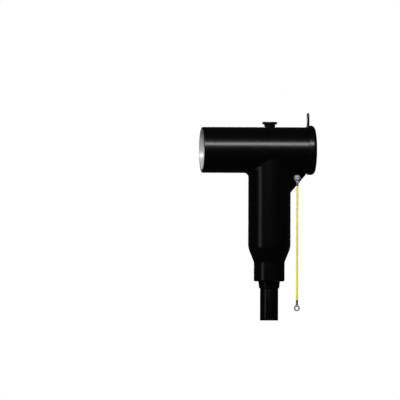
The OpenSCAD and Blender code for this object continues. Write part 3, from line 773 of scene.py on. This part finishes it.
class CONNECTOR_OT_housing(Operator):
    """Models the screened rubber housing with its blend, web and parting ridge"""

    bl_idname = "connector.housing"
    bl_label = "Housing"

    AROUND = 160
    PATCH = Vector((50 * MM, pi / 2))  # station and turn of the corners of the patch round the blend
    LEG_TOP = -56 * MM
    RIDGE_TOP = -60 * MM
    UNDER_WEB = -72 * MM
    RIDGE_END = 60.9 * MM
    RIDGE_GAP = 0.4 * MM

    def execute(self, context):
        self.sizes = context.scene.connector_sizes
        for piece in (self.skin(), self.web(), self.ridge()):
            fasten(piece, "housing", "screen_rubber", "outer_screen")
        return {"FINISHED"}

    def ball(self, angle):
        """Centre of the ball that rolls between barrel and leg."""
        sizes = self.sizes
        x = (sizes.leg_r + sizes.blend_r) * cos(angle)
        y = (sizes.leg_r + sizes.blend_r) * sin(angle)
        return Vector((x, y, -sqrt((sizes.barrel_r + sizes.blend_r) ** 2 - y * y)))

    def blend(self, angle, part):
        """Point of the blend, from the leg at 0 to the barrel at 1."""
        ball = self.ball(angle)
        to_leg = Vector((-cos(angle), -sin(angle), 0))
        to_barrel = -Vector((0, ball.y, ball.z)).normalized()
        return ball + self.sizes.blend_r * to_leg.slerp(to_barrel, part)

    def patch_edge(self, i):
        """Station and turn where a line from the blend meets the square patch on the barrel."""
        quarter = self.AROUND // 4
        side, step = divmod(i + quarter // 2, quarter)
        part = 2 * step / quarter - 1
        x, turn = self.PATCH
        return [Vector((x, turn * part)), Vector((-x * part, turn)),
                Vector((-x, -turn * part)), Vector((x * part, -turn))][side % 4]

    def patch(self, i, part):
        """Point of the patch, from the blend at 0 to the patch's edge at 1."""
        r = self.sizes.barrel_r
        ball = self.ball(self.turn(i))
        start = Vector((ball.x, asin(ball.y / (r + self.sizes.blend_r))))
        x, down = start.lerp(self.patch_edge(i), part)
        return Vector((x, r * sin(down), -r * cos(down)))

    def turn(self, i):
        """Angle of a numbered point round the leg."""
        return 2 * pi * i / self.AROUND

    def waist(self):
        """The two corners between sleeve and leg."""
        sizes = self.sizes
        return [(sizes.sleeve_r, -sizes.taper_end, sizes.taper_foot),
                (sizes.leg_r, -sizes.leg_len, sizes.shoulder_r)]

    def skin(self):
        """Leg from its foot upwards, the blend, the patch round it, then the barrel."""
        sizes, turn = self.sizes, self.turn
        foot = outline([(sizes.bore_r, -sizes.sleeve_end),
                        (sizes.sleeve_r, -sizes.sleeve_end, sizes.sleeve_edge),
                        *self.waist(), (sizes.leg_r, self.LEG_TOP)], 10, unit=1.0)
        start_ring(self.AROUND, foot[0].x, foot[0].y)
        for p in foot[1:]:
            raise_ring(lambda i, p=p: Vector((p.x * cos(turn(i)), p.x * sin(turn(i)), p.y)))
        arc = 12
        for step in range(arc + 1):
            raise_ring(lambda i, step=step: self.blend(turn(i), step / arc))
        rings = 6
        for step in range(1, rings + 1):
            raise_ring(lambda i, step=step: self.patch(i, step / rings))
        self.run_out(sizes.rear, steps=4, way=1)
        self.run_out(sizes.mouth, steps=12, way=-1)
        self.close_barrel()
        forget_turns()
        skin = settle("housing_skin")
        modify(skin, "SOLIDIFY", thickness=sizes.wall, offset=-1.0, use_even_offset=True)
        select_edges(lambda co: co.x < NEAR - sizes.mouth and hypot(co.y, co.z) > sizes.barrel_r - NEAR)
        bpy.ops.mesh.bevel(offset=sizes.mouth_edge, segments=5, affect="EDGES")
        smooth(skin, 36)
        return skin

    def run_out(self, end, steps, way):
        """Carries one side of the patch along the barrel to its end."""
        start = self.PATCH.x
        select_edges(lambda co: abs(way * co.x - start) < NEAR)
        for _ in range(steps):
            extrude(Vector((way * (end - start) / steps, 0, 0)))

    def close_barrel(self):
        """Spins the barrel's side line over the top to the other side."""
        r = self.sizes.barrel_r
        select_edges(lambda co: abs(co.y - r) < NEAR and abs(co.z) < NEAR)
        bpy.ops.mesh.spin(steps=self.AROUND // 4, angle=pi, center=ORIGIN, axis=-X_AXIS)
        top = max(vert.co.z for vert in edit().verts)
        if top < 0.9 * r:
            raise RuntimeError("the barrel was closed underneath instead of over the top")

    def web(self):
        """Gusset between barrel and leg, its free edges rounded, its roots let into both."""
        sizes = self.sizes
        fall = (sizes.web_drop - sizes.web_lip) / (sizes.web_end - sizes.leg_r)
        let_in = 0.6 * sizes.wall
        root = sizes.leg_r - let_in
        top = let_in - sizes.barrel_r
        end = -sizes.barrel_r - sizes.web_lip
        corners = [(root, top), (sizes.web_end, top), (sizes.web_end, end),
                   (root, end - fall * (sizes.web_end - root))]
        draw([Vector((x, -sizes.web_t / 2, z)) for x, z in corners])
        close_chain()
        select_whole()
        bpy.ops.mesh.edge_face_add()
        extrude(Y_AXIS * sizes.web_t)
        first = bpy.context.active_object.matrix_world.translation
        select_edges(lambda co: co.x + first.x > root + NEAR and co.z + first.z < top - NEAR, any)
        bpy.ops.mesh.bevel(offset=sizes.web_edge, segments=6, affect="EDGES", clamp_overlap=True)
        return settle("earth_web_plate", 40)

    def ridge(self):
        """Thin ridge left by the mould along the barrel and down the leg."""
        sizes = self.sizes
        top = sizes.barrel_r
        neck = sizes.test_neck_r + self.RIDGE_GAP
        start = sizes.mouth_edge - sizes.mouth
        arc = 10
        under = [self.blend(pi, 1 - step / arc) for step in range(arc + 1)]
        foot = outline([(sizes.leg_r, self.RIDGE_TOP), *reversed(self.waist()),
                        (sizes.sleeve_r, sizes.sleeve_edge - sizes.sleeve_end)], 8, unit=1.0)
        rear = [Vector((sizes.leg_r, self.UNDER_WEB)), *(p for p in foot if p.y < self.UNDER_WEB)]
        runs = [[Vector((start, 0, top)), Vector((-neck, 0, top))],
                [Vector((neck, 0, top)), Vector((self.RIDGE_END, 0, top))],
                [Vector((start, 0, -top)), *under, *(Vector((-p.x, 0, p.y)) for p in foot)],
                [Vector((p.x, 0, p.y)) for p in rear]]
        activate(rod("parting_ridge", runs, sizes.ridge_r, 2))
        bpy.ops.object.convert(target="MESH")
        return settle("parting_ridge", 60)


class CONNECTOR_OT_rear_cap(Operator):
    """Models the rear cap with its pull tab"""

    bl_idname = "connector.rear_cap"
    bl_label = "Rear cap"

    SEAT_R, FACE_T, LIP = 29.1, 2.6, 0.8
    TAB_ROOT = 1.4 * MM
    TAB_EDGE = 0.5 * MM
    TAB_SIDE = 4 * MM  # a point on each straight side, below the hole

    def execute(self, context):
        sizes = context.scene.connector_sizes
        low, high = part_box("rear_cap")
        front, back = low[0] / MM, high[0] / MM
        outside, skirt = sizes.cap_r / MM, (sizes.barrel_r + GAP) / MM
        inside, landing = back - self.FACE_T, (sizes.rear + GAP) / MM
        path = [(0.0, inside), (self.SEAT_R, inside, 0.6), (self.SEAT_R, landing), (skirt, landing),
                (skirt, front, self.LIP), (outside, front, self.LIP), (outside, back, sizes.cap_edge / MM),
                (0.0, back)]
        shell = turned("rear_cap_shell", outline(path, 10), X_AXIS, steps=sizes.round_steps)
        cut(shell, self.tab(sizes, low[0] + sizes.tab_setback, high[2]), "UNION")
        smooth(shell, 32)
        fasten(shell, "rear_cap", "cap_rubber", "rear_cap")
        return {"FINISHED"}

    def tab(self, sizes, start, top):
        """Upright tab with a round end and a hole, its root let into the cap."""
        half = sizes.tab_w / 2
        hole = top - half
        foot = sizes.cap_r - self.TAB_ROOT
        side = hole - self.TAB_SIDE
        arc = 20
        turns = [pi * i / arc for i in range(arc + 1)]
        rim = [(half * cos(turn), hole + half * sin(turn)) for turn in turns]
        root = [(-half, side), (-half, foot), (-half / 2, foot), (0, foot), (half / 2, foot), (half, foot),
                (half, side)]
        draw([Vector((start, y, z)) for y, z in rim + root])
        close_chain()
        bpy.ops.object.mode_set(mode="OBJECT")
        outer = bpy.context.active_object
        deselect()
        bpy.ops.mesh.primitive_circle_add(vertices=32, radius=sizes.tab_hole_r, location=(start, 0, hole),
                                          rotation=(0, pi / 2, 0))
        join([outer, bpy.context.active_object], "tab")
        select_whole("EDGE")
        bpy.ops.mesh.bridge_edge_loops()
        select_whole("EDGE")
        extrude(X_AXIS * sizes.tab_t)
        plate = settle("tab")
        modify(plate, "BEVEL", width=self.TAB_EDGE, segments=3, limit_method="ANGLE", angle_limit=radians(50))
        return plate


class CONNECTOR_OT_test_cap(Operator):
    """Models the cap of the test point"""

    bl_idname = "connector.test_cap"
    bl_label = "Test point cap"

    HEAD_EDGE, NECK_EDGE = 1.2, 0.8
    BORE_R, FACE_T, FOOT = 6.9, 2.6, 30.0
    SADDLE = 20.0

    def execute(self, context):
        sizes = context.scene.connector_sizes
        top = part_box("test_point_cap")[1][2] / MM
        head, neck = sizes.test_head_r / MM, sizes.test_neck_r / MM
        under, inside = top - sizes.test_head_t / MM, top - self.FACE_T
        path = [(0.0, top), (head, top, self.HEAD_EDGE), (head, under, self.HEAD_EDGE),
                (neck, under, self.NECK_EDGE), (neck, self.FOOT), (self.BORE_R, self.FOOT),
                (self.BORE_R, inside), (0.0, inside)]
        cap = turned("test_cap_shell", outline(path), Z_AXIS, steps=sizes.round_steps)
        barrel = (sizes.barrel_r + GAP) / MM
        saddle = [(0.0, -self.SADDLE), (barrel, -self.SADDLE), (barrel, self.SADDLE), (0.0, self.SADDLE)]
        cut(cap, turned("saddle", outline(saddle), X_AXIS, steps=160), "DIFFERENCE")
        smooth(cap, 32)
        cap.visible_glossy = False
        fasten(cap, "test_cap", "cap_rubber", "test_point_cap")
        return {"FINISHED"}


class CONNECTOR_OT_earth_fixing(Operator):
    """Models the screw and the nut that hold the upper terminal"""

    bl_idname = "connector.earth_fixing"
    bl_label = "Earth screw and nut"

    EYE = Vector((45, 0, -45.5)) * MM
    HEAD_R, HEAD_TOP, HEAD_SIDE, SEAT = 3.9, 9.6, 7.8, 6.8
    DOME_R, DOME_EDGE = 2.5, 1.4
    THREAD_R, CORE_R, TIP_R = 2.0, 1.7, 1.4
    THREAD, HALF_PITCH, TIP = -10.0, 0.3, -11.2
    SOCKET, NUT, NUT_END, NUT_BORE_R = 2.5, 7, 10, 2.1
    CUT_FROM, CUT_TO = 6.0, 12.0  # reach of the tools that cut the socket and the bore

    def execute(self, context):
        thread = [(self.CORE_R if i % 2 else self.THREAD_R, self.THREAD - self.HALF_PITCH * i)
                  for i in range(3)]
        path = [(0.0, self.HEAD_TOP), (self.DOME_R, self.HEAD_TOP, self.DOME_EDGE),
                (self.HEAD_R, self.HEAD_SIDE, self.DOME_EDGE), (self.HEAD_R, self.SEAT, 0.3),
                (self.THREAD_R, self.SEAT), *thread, (self.TIP_R, self.TIP), (0.0, self.TIP)]
        screw = turned("earth_screw_domed", outline(path, 6), -Y_AXIS, steps=64)
        socket = hexagon_bar("socket", self.SOCKET * MM, self.HEAD_SIDE * MM, self.CUT_TO * MM, -Y_AXIS)
        cut(screw, socket, "DIFFERENCE")
        nut = hexagon_head("earth_nut_chamfered", self.NUT * MM, self.SEAT * MM, self.NUT_END * MM, Y_AXIS)
        bore = [(0, self.CUT_FROM), (self.NUT_BORE_R, self.CUT_FROM), (self.NUT_BORE_R, self.CUT_TO),
                (0, self.CUT_TO)]
        cut(nut, turned("bore", outline(bore), Y_AXIS, steps=48), "DIFFERENCE")
        for piece, angle, node in ((screw, 32, "earth_screw"), (nut, 30, "earth_nut")):
            smooth(piece, angle)
            move_mesh(piece, Matrix.Translation(self.EYE))
            fasten(piece, "housing", "steel", node)
        for piece in (screw, frame["nodes"]["earth_eyelet"]):
            piece.visible_glossy = False
        return {"FINISHED"}


class CONNECTOR_OT_contact(Operator):
    """Models the threaded stud that the bushing screws onto"""

    bl_idname = "connector.contact"
    bl_label = "Contact stud"

    TIP = 1.5
    THREAD_END = -9.0
    CORE_R, CORE_START, CORE_END = 6.8, -9.3, 3.0

    def execute(self, context):
        sizes = context.scene.connector_sizes
        low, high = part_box("contact_stud")
        stud = self.thread(sizes, low[0], self.THREAD_END * MM)
        start, end = low[0] / MM, high[0] / MM
        r, tip = sizes.stud_r / MM, self.TIP
        spare = 0.1
        pointed = [(0.0, start), (r - tip, start), (r + spare, start + tip + spare), (r + spare, 0.0),
                   (0.0, 0.0)]
        cut(stud, turned("tip", outline(pointed), X_AXIS), "INTERSECT")
        shank = [(0.0, self.CORE_START), (self.CORE_R, self.CORE_START), (self.CORE_R, self.CORE_END),
                 (r, self.CORE_END), (r, end - tip), (r - tip, end), (0.0, end)]
        cut(stud, turned("shank", outline(shank), X_AXIS), "UNION")
        smooth(stud, 30)
        fasten(stud, "housing", "steel", "contact_stud")
        return {"FINISHED"}

    def thread(self, sizes, start, end):
        """Rod with a screwed surface, cut square at both ends."""
        pitch, crest = sizes.stud_pitch, sizes.stud_r
        root = crest - 0.6 * pitch
        first = start - 2 * pitch
        tooth = [(root, 0.0), (root, 0.12), (crest, 0.44), (crest, 0.56), (root, 0.88), (root, 1.0)]
        draw([Vector((first + part * pitch, 0, r)) for r, part in tooth])
        bpy.ops.object.mode_set(mode="OBJECT")
        bpy.ops.object.transform_apply(location=True)
        modify(bpy.context.active_object, "SCREW", axis="X", steps=48, render_steps=48, screw_offset=pitch,
               iterations=round((end - first) / pitch) + 2, use_merge_vertices=True)
        clean()
        for place, inner, outer in ((start, True, False), (end, False, True)):
            select_whole()
            bpy.ops.mesh.bisect(plane_co=(place, 0, 0), plane_no=X_AXIS, use_fill=True,
                                clear_inner=inner, clear_outer=outer)
        return settle("contact_stud_threaded")


class CONNECTOR_OT_rear_plug(Operator):
    """Models the insulating plug behind the stud, with its hexagon"""

    bl_idname = "connector.rear_plug"
    bl_label = "Rear plug"

    # Its tapered seat in the housing: radius, where that is, length for each unit of widening, clearance
    SEAT_R, SEAT_AT, SEAT_RUN, SEAT_GAP = 23, 12.5, 18, 0.15
    INSERT_R, INSERT_LEN = 12.55, 20
    FLANGE_R, RECESS_R, RECESS = 28.5, 12.0, 0.6
    HEX, STEM_R, STEM_GAP, COLLAR_R = 22, 6, 0.05, 9
    # Stations of the hexagon's stem from the plug's back: its collar, and its end inside the head
    COLLAR_START, COLLAR_END, STEM_END = -14, -12, 1

    def seat(self, station):
        """Radius of the plug at a station of its seat."""
        return self.SEAT_R + (station - self.SEAT_AT) / self.SEAT_RUN - self.SEAT_GAP

    def execute(self, context):
        sizes = context.scene.connector_sizes
        front, back = (corner[0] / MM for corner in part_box("rear_plug"))
        rear, landing = sizes.rear / MM, (sizes.rear + GAP) / MM
        pocket, floor = front + self.INSERT_LEN, back - self.RECESS
        hole = self.STEM_R + self.STEM_GAP
        path = [(self.INSERT_R, pocket), (self.INSERT_R, front), (self.seat(front), front, 1.0),
                (self.seat(rear), rear), (self.seat(rear), landing), (self.FLANGE_R, landing, 0.4),
                (self.FLANGE_R, back, 0.8), (self.RECESS_R, back, 0.5), (self.RECESS_R, floor), (hole, floor),
                (hole, pocket)]
        plug = turned("rear_plug_cast", outline(path, 6), X_AXIS, closed=True, steps=sizes.round_steps)
        fasten(plug, "housing", "epoxy", "rear_plug")
        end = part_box("plug_hex")[1][0]
        head = hexagon_head("plug_hexagon", self.HEX * MM, back * MM, end, X_AXIS, both=False)
        first, collar, last = (back + at for at in (self.COLLAR_START, self.COLLAR_END, self.STEM_END))
        stem = [(0, first), (self.COLLAR_R, first), (self.COLLAR_R, collar), (self.STEM_R, collar),
                (self.STEM_R, last), (0, last)]
        cut(head, turned("stem", outline(stem), X_AXIS, steps=64), "UNION")
        smooth(head, 30)
        fasten(head, "housing", "tinned_metal", "plug_hex")
        return {"FINISHED"}


class CONNECTOR_OT_cable(Operator):
    """Models the adapter, the sheath and the wires at the cable's end"""

    bl_idname = "connector.cable"
    bl_label = "Cable and adapter"

    # Adapter: bores over core, wire screen and sheath, and how far the last two reach up from its tail
    CORE_R, SCREEN_R, SHEATH_R, SCREEN_UP, SHEATH_UP = 11.85, 12.75, 14.8, 76.3, 22.3
    NOSE_R, NOSE_LEN, BODY_R, SHOULDER_UP, NECK_R, TAIL_R = 17.0, 12.0, 21.0, 7.0, 17.75, 16.55
    # Sheath: bore, squeeze under the adapter and how far that reaches up from and below its tail
    JACKET_BORE, SQUEEZE, HELD_UP, HELD_DOWN = 13.76, 0.25, 22.0, 0.5
    STRAND_LAY, SCREEN_LAY, SCREEN_WIRES = 0.19, 0.42, 30
    LAYERS = ((6, 2.02), (12, 3.93))  # strands of a layer round the first, and its reach in strand radii

    def execute(self, context):
        sizes = context.scene.connector_sizes
        low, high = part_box("cable_adapter")
        top, tail = high[2] / MM, low[2] / MM
        mouth = -sizes.sleeve_end / MM
        step, held = tail + self.SCREEN_UP, tail + self.SHEATH_UP
        path = [(self.CORE_R, step), (self.CORE_R, top), (self.NOSE_R, top, 2.0),
                (self.BODY_R, top - self.NOSE_LEN, 6.0), (self.BODY_R, mouth + self.SHOULDER_UP, 2.0),
                (self.NECK_R, mouth, 2.0), (self.TAIL_R, tail, 0.6), (self.SHEATH_R, tail, 0.3),
                (self.SHEATH_R, held), (self.SCREEN_R, held), (self.SCREEN_R, step)]
        adapter = turned("adapter_body", outline(path, 6), Z_AXIS, closed=True, steps=sizes.round_steps)
        fasten(adapter, "housing", "adapter_rubber", "cable_adapter")
        low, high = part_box("cable_sheath")
        outside, end = high[0] / MM, low[2] / MM
        bore, squeezed = self.JACKET_BORE, outside - self.SQUEEZE
        held, grip = tail + self.HELD_UP, tail - self.HELD_DOWN
        path = [(bore, held), (squeezed, held), (squeezed, grip), (outside, grip, 0.2), (outside, end, 0.35),
                (bore, end)]
        sheath = turned("sheath_jacket", outline(path, 4), Z_AXIS, closed=True, steps=sizes.round_steps)
        fasten(sheath, "housing", "sheath_polymer", "cable_sheath")
        self.conductor(sizes)
        self.wire_screen(sizes)
        return {"FINISHED"}

    def wire(self, name, radius, low, high, sides, rows):
        """One wire along the cable's axis, in short lengths so that it can be laid."""
        end_r, ease = 0.8 * radius, 0.2 * radius
        deselect()
        bpy.ops.mesh.primitive_circle_add(vertices=sides, radius=end_r, fill_type="NGON",
                                          location=(0, 0, low))
        select_whole()
        extrude(Z_AXIS * ease)
        widen = radius / end_r
        bpy.ops.transform.resize(value=(widen, widen, 1), center_override=(0, 0, low + ease))
        for _ in range(rows):
            extrude(Z_AXIS * (high - low - ease) / rows)
        return settle(name, 40)

    def lay(self, wires, name, pitch, low, high):
        """Twists straight wires into a lay of the given pitch."""
        whole = join(wires, name)
        modify(whole, "SIMPLE_DEFORM", deform_method="TWIST", deform_axis="Z",
               angle=2 * pi * (high - low) / pitch)
        smooth(whole, 40)
        return whole

    def ring_of(self, wire, count, reach, name):
        """Copies of a wire round the axis."""
        ring = [copy_piece(wire, f"{name}_{i}") for i in range(count)]
        for i, twin in enumerate(ring):
            turn = 2 * pi * i / count
            move_mesh(twin, Matrix.Translation((reach * cos(turn), reach * sin(turn), 0)))
        return ring

    def conductor(self, sizes):
        """Nineteen strands: one, six and twelve."""
        low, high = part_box("conductor")
        r = sizes.wire_r
        strands = [self.wire("strand", r, low[2], high[2], sides=14, rows=26)]
        for count, reach in self.LAYERS:
            strands += self.ring_of(strands[0], count, reach * r, f"layer_{count}")
        whole = self.lay(strands, "conductor_strands", self.STRAND_LAY, low[2], high[2])
        fasten(whole, "housing", "conductor_metal", "conductor")

    def wire_screen(self, sizes):
        """Copper wires laid round the core screen."""
        low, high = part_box("screen_wires")
        r = sizes.screen_wire_r
        first = self.wire("screen_wire", r, low[2], high[2], sides=10, rows=10)
        ring = self.ring_of(first, self.SCREEN_WIRES, high[0] - r, "wire")
        bpy.data.objects.remove(first)
        screen = self.lay(ring, "screen_wire_lay", self.SCREEN_LAY, low[2], high[2])
        fasten(screen, "housing", "copper", "screen_wires")


class CONNECTOR_OT_finishes(Operator):
    """Gives each carried-over solid the finish of its slot"""

    bl_idname = "connector.finishes"
    bl_label = "Finishes of the solids"

    def execute(self, context):
        for part in frame["record"]["subparts"]:
            for holder in frame["nodes"][part["node"]].material_slots:
                holder.material = FINISHES[part["material_slot"]]
        return {"FINISHED"}


STEPS = (CONNECTOR_OT_stage, CONNECTOR_OT_make_finishes, CONNECTOR_OT_earth_lead, CONNECTOR_OT_housing,
         CONNECTOR_OT_rear_cap, CONNECTOR_OT_test_cap, CONNECTOR_OT_earth_fixing, CONNECTOR_OT_contact,
         CONNECTOR_OT_rear_plug, CONNECTOR_OT_cable, CONNECTOR_OT_finishes)
GROUPS = {"connector_sizes": ConnectorSizes, "connector_colours": ConnectorColours,
          "connector_stage": ConnectorStage}


class CONNECTOR_PT_panel(Panel):
    """Lists the pieces, their sizes and their colours."""

    bl_idname = "CONNECTOR_PT_panel"
    bl_label = "Tee connector"
    bl_space_type = "VIEW_3D"
    bl_region_type = "UI"
    bl_category = "Connector"

    def draw(self, context):
        for step in STEPS:
            self.layout.operator(step.bl_idname)
        for name, group in GROUPS.items():
            box = self.layout.box()
            for value in group.__annotations__:
                box.prop(getattr(context.scene, name), value)


def register():
    """Registers the groups, the operators and the panel."""
    for name, group in GROUPS.items():
        bpy.utils.register_class(group)
        setattr(bpy.types.Scene, name, PointerProperty(type=group))
    for step in STEPS:
        bpy.utils.register_class(step)
    bpy.utils.register_class(CONNECTOR_PT_panel)


def unregister():
    """Takes everything out again."""
    bpy.utils.unregister_class(CONNECTOR_PT_panel)
    for step in reversed(STEPS):
        bpy.utils.unregister_class(step)
    for name, group in GROUPS.items():
        delattr(bpy.types.Scene, name)
        bpy.utils.unregister_class(group)


def main():
    """Builds everything in order."""
    register()
    for step in STEPS:
        group, name = step.bl_idname.split(".")
        getattr(getattr(bpy.ops, group), name)()
    deselect()


if __name__ == "__main__":
    main()
